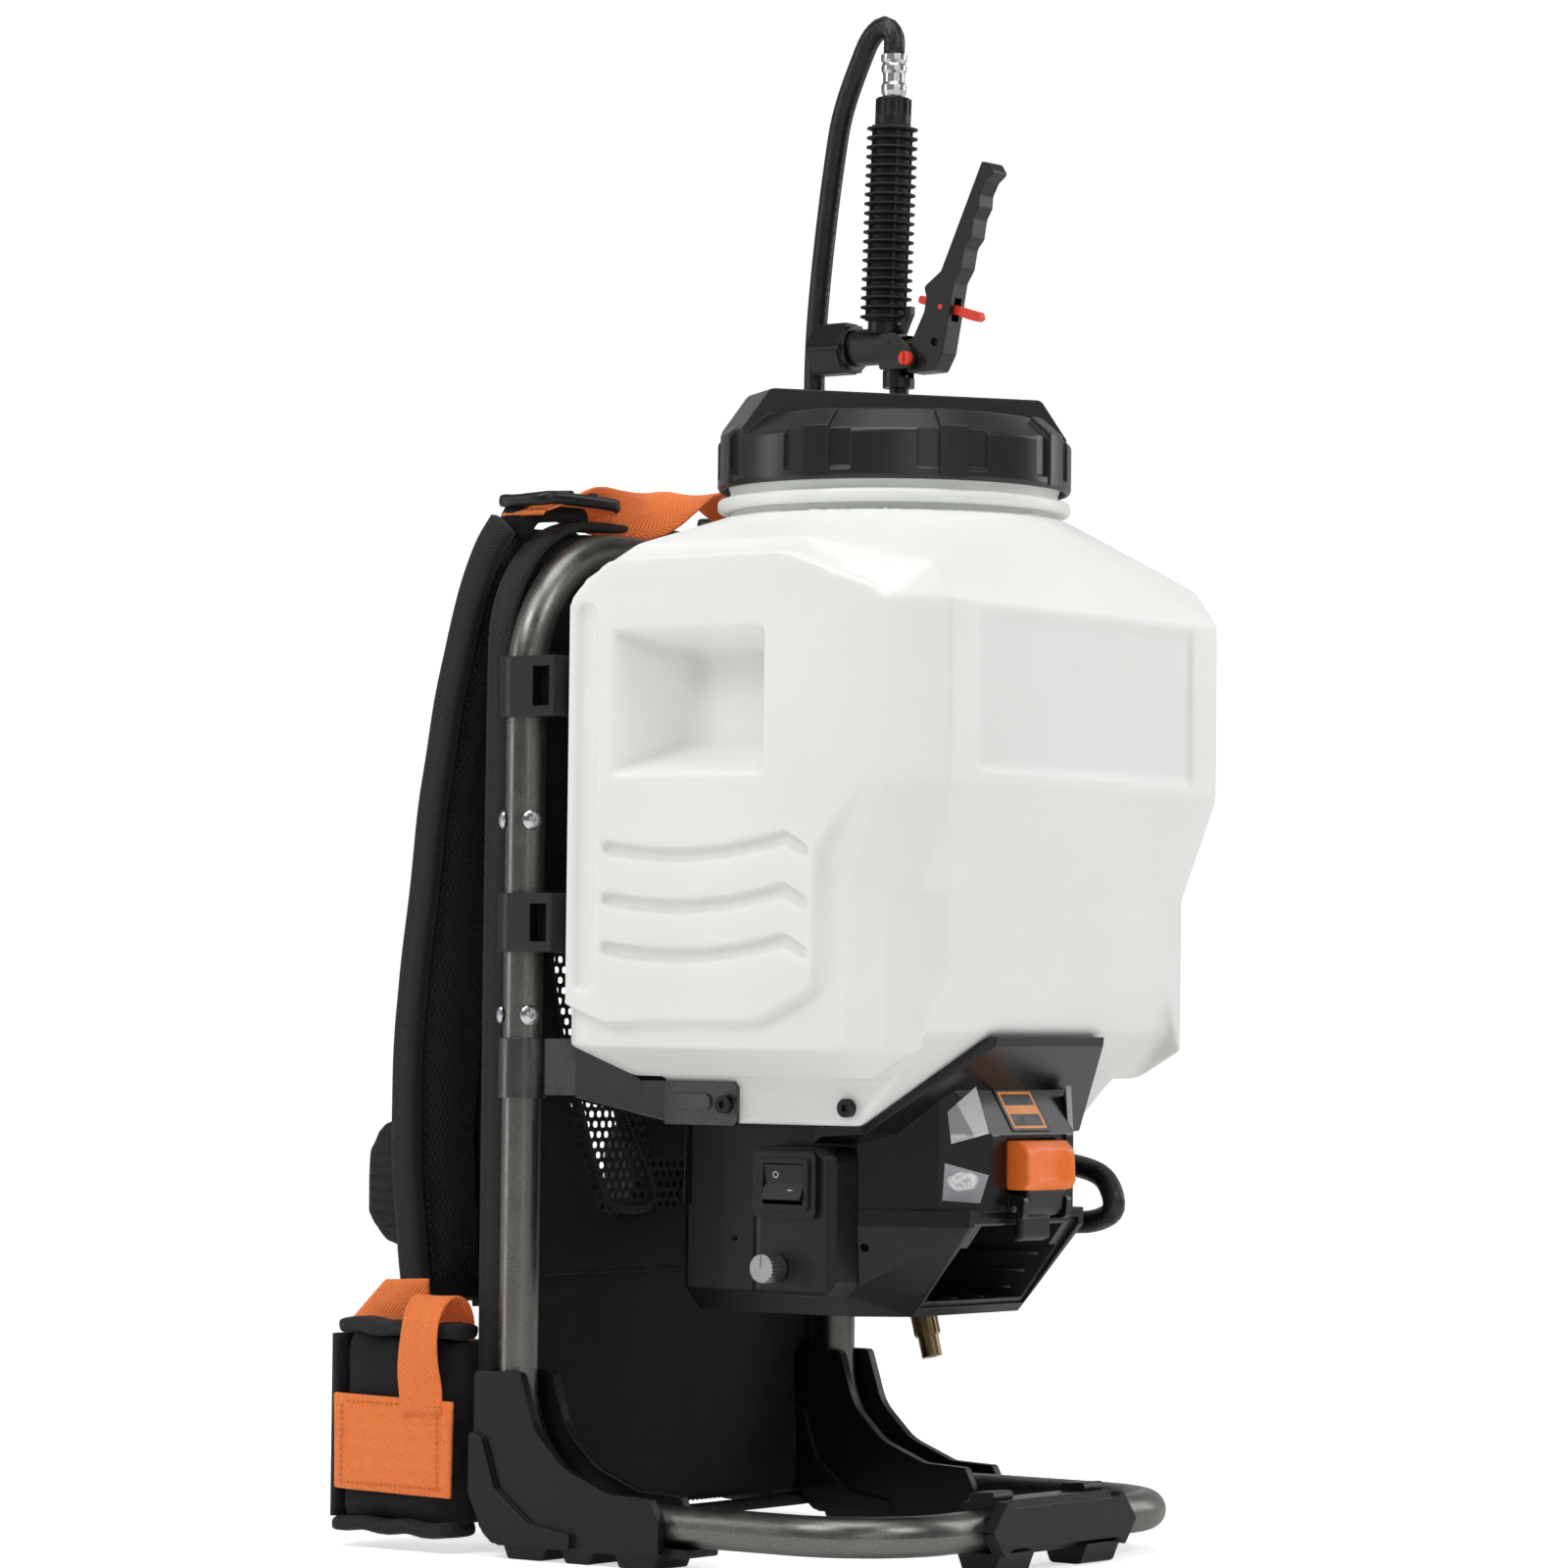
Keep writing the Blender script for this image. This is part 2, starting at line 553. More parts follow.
def curve(points, step=0.004, closed=False):
    """Evenly spaced points on a smooth centripetal Catmull-Rom line through points."""
    count, parts = len(points), 16
    dense = []
    for i in range(count if closed else count - 1):
        if closed:
            a, b, c, d = (points[(i + k) % count] for k in (-1, 0, 1, 2))
        else:
            b, c = points[i], points[i + 1]
            a = points[i - 1] if i > 0 else b * 2 - c
            d = points[i + 2] if i + 2 < count else c * 2 - b
        t0 = 0.0
        t1 = t0 + max((b - a).length, 1e-6) ** 0.5
        t2 = t1 + max((c - b).length, 1e-6) ** 0.5
        t3 = t2 + max((d - c).length, 1e-6) ** 0.5
        for k in range(parts):
            t = t1 + (t2 - t1) * k / parts
            ab = a * ((t1 - t) / (t1 - t0)) + b * ((t - t0) / (t1 - t0))
            bc = b * ((t2 - t) / (t2 - t1)) + c * ((t - t1) / (t2 - t1))
            cd = c * ((t3 - t) / (t3 - t2)) + d * ((t - t2) / (t3 - t2))
            abc = ab * ((t2 - t) / (t2 - t0)) + bc * ((t - t0) / (t2 - t0))
            bcd = bc * ((t3 - t) / (t3 - t1)) + cd * ((t - t1) / (t3 - t1))
            dense.append(abc * ((t2 - t) / (t2 - t1)) + bcd * ((t - t1) / (t2 - t1)))
    dense.append(dense[0].copy() if closed else points[-1].copy())
    lengths = run_lengths(dense)
    steps = max(2, int(round(lengths[-1] / step)))
    line = []
    for i in range(steps + 1):
        k, share = locate(lengths, lengths[-1] * i / steps)
        line.append(dense[k].lerp(dense[k + 1], share))
    return line[:-1] if closed else line


def tangent(line, i):
    return (line[min(i + 1, len(line) - 1)] - line[max(i - 1, 0)]).normalized()


def least_twist(line, first):
    """Up directions that turn as little as possible along the line."""
    ups, up = [], first
    for i in range(len(line)):
        along = tangent(line, i)
        up = (up - along * up.dot(along)).normalized()
        ups.append(up)
    return ups


def side_normals(line):
    """Normals square to the line and to X."""
    return [tangent(line, i).cross(X_AXIS).normalized() for i in range(len(line))]


def sweep(line, ups, section, material, name="part", closed=False):
    """Section (a, b) led along a line: a along ups (one, or one per point), b square to it.

    The UV is (run, way round the section) in metres.
    """
    count, sides = len(line), len(section)
    if isinstance(ups, Vector):
        ups = [ups] * count
    run = run_lengths(line)
    around = [0.0]
    for (a, b), (c, d) in zip(section, section[1:] + section[:1]):
        around.append(around[-1] + math.hypot(c - a, d - b))
    verts, faces, uvs = [], [], []
    for i in range(count):
        if closed:
            along = (line[(i + 1) % count] - line[i - 1]).normalized()
        else:
            along = tangent(line, i)
        up = (ups[i] - along * ups[i].dot(along)).normalized()
        side = along.cross(up)
        verts += [line[i] + up * a + side * b for a, b in section]
    total = run[-1] + ((line[0] - line[-1]).length if closed else 0)
    for i in range(count if closed else count - 1):
        j = (i + 1) % count
        here, there = run[i], (total if j == 0 else run[j])
        for k in range(sides):
            q = (k + 1) % sides
            faces.append((i * sides + k, i * sides + q, j * sides + q, j * sides + k))
            uvs += [(here, around[k]), (here, around[k + 1]),
                    (there, around[k + 1]), (there, around[k])]
    if not closed:
        faces.append(tuple(range(sides - 1, -1, -1)))
        uvs += [(0.0, around[k]) for k in range(sides - 1, -1, -1)]
        faces.append(tuple((count - 1) * sides + k for k in range(sides)))
        uvs += [(total, around[k]) for k in range(sides)]
    return build(name, verts, faces, [materials[material]], uvs)


def strap_section(width, thick, parts=8, crown=0.0):
    """Flat webbing: rounded selvedges, slightly crowned."""
    edge = thick * 0.55
    top = [(-width / 2 + edge + (width - 2 * edge) * k / parts,
            thick / 2 + crown * (1 - (2 * k / parts - 1) ** 2)) for k in range(parts + 1)]
    bottom = [(a, -thick / 2 + crown * (1 - (2 * (a / width)) ** 2) * 0.9)
              for a, _ in reversed(top)]
    inset, rise = width / 2 - edge * 0.3, thick * 0.30
    right = [(inset, rise), (width / 2, 0.0), (inset, -rise)]
    left = [(-inset, -rise), (-width / 2, 0.0), (-inset, rise)]
    return list(reversed(top + right + bottom + left))


def round_section(radius, sides=28):
    angles = [2 * math.pi * k / sides for k in range(sides)]
    return [(radius * math.cos(a), radius * math.sin(a)) for a in angles]


def oval_section(half_a, half_b, sides, power):
    """A superellipse; the smaller the power, the squarer."""
    return [(half_a * math.copysign(abs(a) ** power, a), half_b * math.copysign(abs(b) ** power, b))
            for a, b in round_section(1, sides)]


def rounded_polygon(corners, radii, parts):
    """A flat outline with an arc of so many parts at each corner."""
    outline = []
    for i, radius in enumerate(radii):
        before, corner, after = (Vector(corners[(i + k) % len(corners)]) for k in (-1, 0, 1))
        back, ahead = (before - corner).normalized(), (after - corner).normalized()
        half = math.acos(max(-0.99999, min(0.99999, back.dot(ahead)))) / 2
        centre = corner + (back + ahead).normalized() * (radius / math.sin(half))
        start = corner + back * (radius / math.tan(half))
        end = corner + ahead * (radius / math.tan(half))
        angle = math.atan2(start.y - centre.y, start.x - centre.x)
        turn = math.atan2(end.y - centre.y, end.x - centre.x) - angle
        if turn > math.pi:
            turn -= 2 * math.pi
        elif turn < -math.pi:
            turn += 2 * math.pi
        for k in range(parts + 1):
            a = angle + turn * k / parts
            outline.append(centre + Vector((math.cos(a), math.sin(a))) * radius)
    return outline


def join(parts, name):
    """One object from several, by mesh code."""
    verts, faces, uvs, used, indices = [], [], [], [], []
    for part in parts:
        base = len(verts)
        place = part.matrix_world
        verts += [place @ v.co for v in part.data.vertices]
        material = part.data.materials[0]
        if material not in used:
            used.append(material)
        layer = part.data.uv_layers.active
        for face in part.data.polygons:
            faces.append([base + v for v in face.vertices])
            indices.append(used.index(material))
            uvs += [tuple(layer.data[k].uv) if layer else (0.0, 0.0)
                    for k in face.loop_indices]
    for part in parts:
        old = part.data
        bpy.data.objects.remove(part)
        if old.users == 0:
            bpy.data.meshes.remove(old)
    joined = build(name, verts, faces, used, uvs, outward=False)
    joined.data.polygons.foreach_set("material_index", indices)
    joined.data.update()
    return joined


# half lengths from the stitch's middle, share of the thread's full thickness
STITCH_PROFILE = ((-1, 0.05), (-0.8, 0.7), (-0.3, 1), (0.3, 1), (0.8, 0.7), (1, 0.05))


def stitches(line, normals, material, pitch=0.0036, length=0.0024):
    """A row of thread stitches on a surface; normals is one vector or one per point."""
    radius, lift, end_dip, sides = 0.00042, 0.0002, 0.0004, 6
    last = (len(STITCH_PROFILE) - 1) * sides
    lengths = run_lengths(line)
    verts, faces = [], []
    for i in range(int(lengths[-1] / pitch)):
        k, share = locate(lengths, (i + 0.5) * pitch)
        centre = line[k].lerp(line[k + 1], share)
        along = (line[k + 1] - line[k]).normalized()
        across = along.cross(normals[k] if isinstance(normals, list) else normals).normalized()
        out = across.cross(along).normalized()
        base = len(verts)
        for reach, thick in STITCH_PROFILE:
            dip = end_dip if abs(reach) == 1 else 0
            for q in range(sides):
                angle = 2 * math.pi * q / sides
                verts.append(centre + along * (reach * length / 2)
                             + across * (math.cos(angle) * radius * 1.25 * thick)
                             + out * (math.sin(angle) * radius * thick + lift - dip))
        for a in range(base, base + last, sides):
            for q in range(sides):
                r = (q + 1) % sides
                faces.append((a + q, a + r, a + sides + r, a + sides + q))
        faces.append(tuple(base + q for q in range(sides - 1, -1, -1)))
        faces.append(tuple(base + last + q for q in range(sides)))
    return build("part", verts, faces, [materials[material]], outward=False)


def waviness(place, scale):
    x, y, z = place
    return noise.noise(Vector((x * scale + 3.7, y * scale + 1.3, z * scale + 9.1)))


def displace(obj, depth):
    """Moves each point along its normal by depth(place, normal), in metres."""
    verts = obj.data.vertices
    normals = [v.normal.copy() for v in verts]
    for v, normal in zip(verts, normals):
        distance = depth(v.co, normal)
        if distance:
            v.co = v.co + normal * distance
    obj.data.update()


# ---------------------------------------------------------------- stuffed cloth
def inflate(obj, pressure, limit, frame_count=20):
    """Blows the shell up as cloth, no point further than limit from where it was."""
    rest = [v.co.copy() for v in obj.data.vertices]
    modifier = obj.modifiers.new("cloth", "CLOTH")
    settings = modifier.settings
    settings.quality = 5
    settings.mass = 0.25
    settings.tension_stiffness = 12
    settings.compression_stiffness = 12
    settings.shear_stiffness = 6
    settings.bending_stiffness = 0.6
    settings.use_pressure = True
    settings.uniform_pressure_force = pressure
    settings.effector_weights.gravity = 0
    modifier.collision_settings.use_collision = False
    modifier.collision_settings.use_self_collision = False
    modifier.point_cache.frame_start = 1
    modifier.point_cache.frame_end = frame_count
    scene = bpy.context.scene
    for number in range(1, frame_count + 1):
        scene.frame_set(number)
    apply_modifiers(obj)
    for v, start in zip(obj.data.vertices, rest):
        move = v.co - start
        if move.length > limit:
            v.co = start + move * (limit / move.length)
    scene.frame_set(1)


def stuffed(node, name, material, voxel, pressure, limit, shrink, wrinkle, wrinkle_scale):
    obj = voxel_copy(node, name, material, voxel, smoothing=2)
    shrunk = [v.co - v.normal * shrink for v in obj.data.vertices]
    for v, place in zip(obj.data.vertices, shrunk):
        v.co = place
    obj.data.update()
    inflate(obj, pressure, limit)
    add_subdivision(obj)
    apply_modifiers(obj)
    obj.data.update()
    displace(obj, lambda place, _: (waviness(place, wrinkle_scale) * wrinkle
                                    + waviness(place, wrinkle_scale * 2.7) * wrinkle * 0.45))
    smooth_all(obj.data)
    return attach(obj, replaces=node)


# ---------------------------------------------------------------- tank
NECK = point(0, NECK_Y, 0)
NECK_RADIUS = 0.0792
LOUVRE_HEIGHTS = (0.336, 0.312, 0.289)
LOUVRE_START_Y, LOUVRE_BEND_Y, LOUVRE_END_Y = (point(0, y, 0).y for y in (-58, -154, -178))


def from_neck(place):
    return math.hypot(place.x - NECK.x, place.y - NECK.y)


def louvre_depth(place, normal):
    """Three curved grooves, one over another, on each side wall."""
    side = -1 if place.x < MID_X else 1
    if (normal.x * side < 0.55 or abs(place.x - MID_X) < 0.131
            or not 0.265 <= place.z <= 0.35
            or not LOUVRE_END_Y - 0.003 <= place.y <= LOUVRE_START_Y + 0.004):
        return 0.0
    run = (LOUVRE_START_Y - place.y) / 0.096
    if run <= 1:
        run = max(run, 0.0)
        rise = -0.005 * math.sin(math.radians(run * 150)) + 0.004 * run * run
    else:
        past = (LOUVRE_BEND_Y - place.y) / 0.010
        rise = 0.0015 + 0.0025 * min(past, 1) - (0.007 * (past - 1) / 1.4 if past > 1 else 0)
    fade = (min(1, max(0, (LOUVRE_START_Y + 0.004 - place.y) / 0.008))
            * min(1, max(0, (place.y - LOUVRE_END_Y + 0.003) / 0.010)))
    depth = 0.0
    for height in LOUVRE_HEIGHTS:
        q = (place.z - height - rise) * 1000  # mm above the groove's line
        if -11 < q < 4.5:  # a long slope in from below, a short one out at the top
            depth -= 0.0014 * (((q + 11) / 13.0) ** 1.5 if q < 2 else (4.5 - q) / 2.5) * fade
    return depth


def make_tank():
    obj = voxel_copy("tank", "tank_shell", "tank_hdpe", voxel=0.0016)
    body_group = obj.vertex_groups.new(name="body")
    neck_group = obj.vertex_groups.new(name="neck")
    body, neck = [], []
    for v in obj.data.vertices:
        in_neck = v.co.z > 0.492 and from_neck(v.co) < 0.095
        (neck if in_neck else body).append(v.index)
    body_group.add(body, 1.0, "REPLACE")
    neck_group.add(neck, 1.0, "REPLACE")
    add_smooth(obj, 5, "body")
    add_smooth(obj, 1, "neck")
    apply_modifiers(obj)
    displace(obj, louvre_depth)
    # the upper neck is drawn in under the lid
    for v in obj.data.vertices:
        radius = from_neck(v.co)
        if 0.4969 < v.co.z < 0.5118 and NECK_RADIUS < radius < 0.092:
            dx, dy = v.co.x - NECK.x, v.co.y - NECK.y
            v.co.x = NECK.x + dx / radius * NECK_RADIUS
            v.co.y = NECK.y + dy / radius * NECK_RADIUS
    smooth_all(obj.data)
    add_upper_material(obj.data, "tank_neck", 0.5065)
    obj.vertex_groups.clear()
    attach(obj, replaces="tank")


def make_neck_bead():
    """Rolled bead round the neck, between the shoulder and the lid."""
    line = [Vector((NECK.x + x, NECK.y + y, 0.5035)) for x, y in round_section(0.0812, 160)]
    attach(sweep(line, Z_AXIS, oval_section(0.0033, 0.0042, 24, 0.62), "tank_hdpe",
                 "tank_neck_bead", closed=True))


def make_scale():
    """Moulded scale ticks on both side walls, every third one long."""
    ticks = []
    for i in range(15):
        z = 276 + i * 12.1
        half = 4.2 if i % 3 == 0 else 2.6
        for side in SIDES:
            line = [point(side * 136.7, -47.5 + end * half, z) for end in (-1, 1)]
            ticks.append(sweep(line, Z_AXIS, oval_section(0.0007, 0.0008, 10, 0.8), "tank_hdpe"))
    attach(join(ticks, "tank_scale_ticks"))


make_tank()
make_neck_bead()
make_scale()

# ---------------------------------------------------------------- hoses
# x, y, z in mm along each hose's middle
DELIVERY_HOSE = (
    (67.2, -84, 160), (80, -84, 160), (96, -104, 158), (100, -150, 158), (95, -182, 160),
    (88, -196, 167), (92, -188, 180), (104, -150, 188), (124, -90, 192), (139, -45, 195),
    (143.7, -20, 198), (144.5, 0, 208), (151, 20, 240), (158, 36, 310), (161, 43, 430),
    (161.5, 45, 560), (161, 44, 610), (159, 39, 650), (156.5, 30, 702), (155.4, 24, 728),
    (155, 13, 754), (155, 5, 768), (155, -3, 772.5), (155, -8.5, 767), (155, -9, 757.3))
SUCTION_HOSE = ((58, -120, 198), (58, -120, 188), (57, -116, 183), (53, -108, 180.5),
                (49.2, -102, 180))


def make_hose(node, places, radius):
    line = curve([point(*p) for p in places], 0.003)
    tube = sweep(line, least_twist(line, X_AXIS), round_section(radius), "hose_rubber",
                 node + "_tube")
    attach(tube, replaces=node)


make_hose("delivery_hose", DELIVERY_HOSE, 0.0055)
make_hose("suction_hose", SUCTION_HOSE, 0.0048)


# ---------------------------------------------------------------- back pad
def pad_depth(place, normal):
    """A level seam on both faces, and upright channels on the wearer's side."""
    if abs(normal.y) <= 0.3:
        return 0.0
    depth = -0.0016 * math.exp(-((place.z - 0.132) / 0.0028) ** 2)
    if normal.y > 0.3 and 0.05 < place.z < 0.46:
        for x in (-84, -42, 42, 84):
            depth -= 0.0016 * math.exp(-((place.x - point(x, 0, 0).x) / 0.004) ** 2)
    return depth


def pad_outline(inset, radii, y):
    """Closed line inset from the pad's edge, all in mm."""
    wide, low, high = 127 - inset, 11 + inset, 496 - inset
    corners = [(-wide, low), (wide, low), (wide, high), (-wide, high)]
    return curve([point(p.x, y, p.y) for p in rounded_polygon(corners, radii, 10)], closed=True)


def make_back_pad():
    pad = stuffed("back_pad", "back_pad_cushion", "pad_fabric", voxel=0.005, pressure=3.0,
                  limit=0.003, shrink=0.0010, wrinkle=0.0007, wrinkle_scale=22)
    displace(pad, pad_depth)
    edge = pad_outline(0, [6, 6, 62, 62], 17.1)
    attach(sweep(edge, Y_AXIS, oval_section(0.0074, 0.0026, 20, 0.55), "binding",
                 "pad_binding", closed=True))
    rows = []
    for y, normal in ((10.2, -Y_AXIS), (24.0, Y_AXIS)):
        line = pad_outline(6, [4, 4, 56, 56], y)
        rows.append(stitches(line + line[:1], normal, "thread_black"))
    seam = curve([point(-120, 9.9, 132), point(0, 9.7, 132), point(120, 9.9, 132)])
    rows.append(stitches(seam, -Y_AXIS, "thread_black"))
    attach(join(rows, "pad_stitching"))


def make_mesh_panel():
    """Open mesh: real holes in staggered rows, all in mm."""
    left, right, low, high = -97.5, 97.5, 156.5, 311.5
    corner = 9.5
    columns, rows = int((right - left) / 5.6), int((high - low) / 4.9)
    half_x, half_z = (right - left) / columns / 2, (high - low) / rows / 2
    # a cell's border in half cells, with the half-step points its neighbours need
    border = ((-1, -1), (-0.5, -1), (0, -1), (0.5, -1), (1, -1), (1, 0),
              (1, 1), (0.5, 1), (0, 1), (-0.5, 1), (-1, 1), (-1, 0))
    verts, faces, known = [], [], {}

    def shared(x, z):
        key = (round(x, 3), round(z, 3))
        if key not in known:
            known[key] = len(verts)
            verts.append(point(x, 11.5 + 0.25 * math.sin(x * 0.21) * math.cos(z * 0.17), z))
        return known[key]

    def inside(x, z):
        dx = max(left + corner - x, x - (right - corner), 0)
        dz = max(low + corner - z, z - (high - corner), 0)
        return left <= x <= right and low <= z <= high and math.hypot(dx, dz) <= corner

    for j in range(rows):
        z = low + (j + 0.5) * (high - low) / rows
        for i in range(-1, columns + 1):
            x = left + (i + 0.5 + (0.5 if j % 2 else 0)) * (right - left) / columns
            if not (inside(x - half_x * 0.8, z) and inside(x + half_x * 0.8, z)):
                continue
            outer = [shared(x + a * half_x, z + b * half_z) for a, b in border]
            angles = [math.atan2(b, a) for a, b in border]
            hole = [shared(x + half_x * 0.66 * math.cos(a), z + half_z * 0.64 * math.sin(a))
                    for a in angles]
            for k in range(len(border)):
                q = (k + 1) % len(border)
                faces.append((outer[k], outer[q], hole[q], hole[k]))
    obj = build("mesh_window", verts, faces, [materials["mesh_fabric"]])
    solid = obj.modifiers.new("solid", "SOLIDIFY")
    solid.thickness = 0.0007
    solid.offset = 0
    add_subdivision(obj)
    apply_modifiers(obj)
    smooth_all(obj.data)
    attach(obj, replaces="mesh_panel")


# x, z in mm round the left window cut-out, mirrored for the right one
VENT = ((-46, 166), (-70, 212), (-86, 248), (-92, 300), (-60, 300), (-50, 250), (-37, 212),
        (-12, 166))


def make_window_binding():
    """Bound edges of the two window cut-outs in the pad."""
    parts = []
    for mirror in (1, -1):
        line = curve([point(mirror * x, 12.0, z) for x, z in VENT], closed=True)
        parts.append(sweep(line, Y_AXIS, oval_section(0.0024, 0.0026, 12, 0.8), "binding",
                           closed=True))
    attach(join(parts, "window_binding"))


make_back_pad()
make_mesh_panel()
make_window_binding()

# ---------------------------------------------------------------- shoulder straps
# y, z in mm down the strap's middle
SHOULDER_STRAP = ((26, 494), (34, 484), (44, 462), (56, 420), (66, 370), (74, 310), (81, 250),
                  (82, 190), (78, 150), (73, 114))


def make_shoulder_strap(side, node):
    padding = stuffed(node, node + "_padding", "spacer_fabric", voxel=0.0045, pressure=5.0,
                      limit=0.003, shrink=0.0014, wrinkle=0.0007, wrinkle_scale=26)
    line = curve([point(side * 90, y, z) for y, z in SHOULDER_STRAP])
    parts = []
    for offset in (-26.2, 26.2):
        edge = [p + Vector((offset / 1000, 0, 0)) for p in line]
        normals = side_normals(edge)
        edge = [p + n * (waviness(p, 30) * 0.0006) for p, n in zip(edge, normals)]
        parts.append(sweep(edge, normals, oval_section(0.0078, 0.0042, 18, 0.6), "binding"))
    attach(join(parts, node + "_binding"))
    # on each face, a row just inside either binding and two rows near the middle
    rows = []
    for offset, lift in ((-20.5, 0.0072), (20.5, 0.0072), (-6, 0.0078), (6, 0.0078)):
        for face in (-1, 1):
            normals = [n * face for n in side_normals(line)[3:-3]]
            row = [p + Vector((offset / 1000, 0, 0)) + n * lift
                   for p, n in zip(line[3:-3], normals)]
            rows.append(stitches(row, normals, "thread_black"))
    attach(join(rows, node + "_stitching"))


make_shoulder_strap(-1, "shoulder_strap_left")
make_shoulder_strap(1, "shoulder_strap_right")


# ---------------------------------------------------------------- lumbar belt
def make_belt():
    belt = stuffed("lumbar_belt", "lumbar_belt_padding", "belt_fabric", voxel=0.005,
                   pressure=5.0, limit=0.004, shrink=0.0014, wrinkle=0.0011, wrinkle_scale=30)
    # the orange band is sewn tight, so the padding stays behind it
    band_low, band_high = point(0, 0, 24.5).z, point(0, 0, 75.5).z
    start_y, bend_y, rear_y = (point(0, y, 0).y for y in (23, 97, 101.6))
    for v in belt.data.vertices:
        if band_low < v.co.z < band_high and v.co.y > start_y:
            aside = v.co.x - MID_X
            limit = 0.1462 if v.co.y < bend_y else 0.1442
            if abs(aside) > limit:
                v.co.x = MID_X + math.copysign(limit, aside)
            if 0.129 < abs(aside) and v.co.y > rear_y:
                v.co.y = rear_y
    belt.data.update()


# upper and lower edge of the wing, in mm but for the phase and the section's half width:
# x, z, rise over the run, height of the waves, their phase, half width in metres
BELT_EDGES = ((136.3, 105.0, 1.2, 0.8, 0, 0.0104), (138.0, 10.6, 0.8, 0.7, 1.7, 0.0122))


def make_belt_binding():
    parts = []
    for side in SIDES:
        for x, z, rise, wave, phase, half in BELT_EDGES:
            line = curve([point(side * x, 27 + 70 * k / 14,
                                z + rise * k / 14 + wave * math.sin(k * 1.15 + phase))
                          for k in range(15)])
            parts.append(sweep(line, X_AXIS, oval_section(half, 0.0038, 20, 0.6), "binding"))
        line = curve([point(side * 136.3, 100.2, z) for z in (14, 35, 60, 85, 102)])
        parts.append(sweep(line, X_AXIS, oval_section(0.0102, 0.0028, 20, 0.6), "binding"))
    attach(join(parts, "lumbar_belt_binding"))


make_belt()
make_belt_binding()


# ---------------------------------------------------------------- webbing
def folded_loop(side):
    """Strap that comes in level on its edge, rolls over a diagonal line and hangs down.

    The UV is (run, width) in metres.
    """
    corner = point(side * 122.0, 99.0, 115.6)
    width, thick = 0.0244, 0.0016
    back, down = 0.036, 0.054  # run before and after the fold
    radius = 0.0021
    rows, columns = 84, 14
    level = Vector((side * 0.10, 0.995, 0)).normalized()
    behind = Vector((-side * 0.995, 0.10, 0)).normalized()
    fold, over = (level - Z_AXIS).normalized(), (level + Z_AXIS).normalized()

    def surface(run, aside):
        """Place and normal on the strap's middle sheet."""
        q = (run + aside) / math.sqrt(2)
        past = q - math.pi * radius
        if q <= 0:
            reach, depth, normal = q, 0.0, -behind
        elif past < 0:
            angle = q / radius
            reach, depth = radius * math.sin(angle), radius * (1 - math.cos(angle))
            normal = over * math.sin(angle) - behind * math.cos(angle)
        else:
            reach, depth, normal = -past, 2 * radius, behind
        place = corner + fold * ((run - aside) / math.sqrt(2)) + over * reach + behind * depth
        if q <= 0:  # the level run bows out a little on its way from the strap's foot
            bow = min(1.0, -q / 0.03)
            place = (place - behind * (0.0022 * math.sin(bow * math.pi))
                     + Z_AXIS * (0.0012 * math.sin(bow * 2.2)))
        else:
            bow = min(1.0, max(0.0, past / 0.045))
            place = (place + behind * (0.0016 * math.sin(bow * math.pi))
                     - level * (0.006 * bow * bow))
        return place, normal

    verts, faces, uvs = [], [], []
    ring = 2 * (columns + 1)
    runs = [(back + down) * r / rows for r in range(rows + 1)]
    for r in range(rows + 1):
        run = -back + runs[r]
        top, bottom = [], []
        for c in range(columns + 1):
            place, normal = surface(run, width / 2 - width * c / columns)
            half = thick / 2 * (1.0 if 0 < c < columns else 0.45)
            top.append(place + normal * half)
            bottom.append(place - normal * half)
        verts += top + bottom[::-1]
    widths = [width * min(c, ring - 1 - c) / columns for c in range(ring)]
    for r in range(rows):
        here, there = runs[r], runs[r + 1]
        for c in range(ring):
            d = (c + 1) % ring
            faces.append((r * ring + c, r * ring + d, (r + 1) * ring + d, (r + 1) * ring + c))
            uvs += [(here, widths[c]), (here, widths[d]), (there, widths[d]), (there, widths[c])]
    faces.append(tuple(range(ring - 1, -1, -1)))
    faces.append(tuple(rows * ring + c for c in range(ring)))
    uvs += [(0.0, 0.0)] * ring * 2
    return build("part", verts, faces, [materials["webbing"]], uvs)


# x, y, z in mm for the right side, x mirrored for the left
HIP_BAND = ((147.0, 25, 49.5), (147.6, 45, 49.8), (147.8, 70, 50.3), (147.4, 92, 50.6),
            (145.5, 99.5, 50.8), (141, 103.0, 51), (134, 103.2, 51))
FRONT_LOOP = ((125, 42, 101), (127, 42, 112), (132.5, 42, 120), (141, 42.5, 121.5),
              (148, 43, 114), (150.4, 43.5, 102), (150.2, 43.8, 88), (149.2, 43, 77),
              (148.9, 42.5, 66))
ADJUSTER = ((118, 26.0, 262), (118, 27.6, 275), (118, 28.2, 290), (118, 27.0, 305))
# two stitch rows along the hip band and two across it
BAND_STITCHES = tuple(((148.3, 30, z), (148.9, 60, z + 0.4), (148.5, 90, z + 0.6))
                      for z in (30.5, 69.5))
BAND_STITCHES += tuple(((148.6, y, 30), (148.8, y, 50), (148.6, y, 70)) for y in (33, 93))


def mirrored(places, side, step):
    return curve([point(side * x, y, z) for x, y, z in places], step)


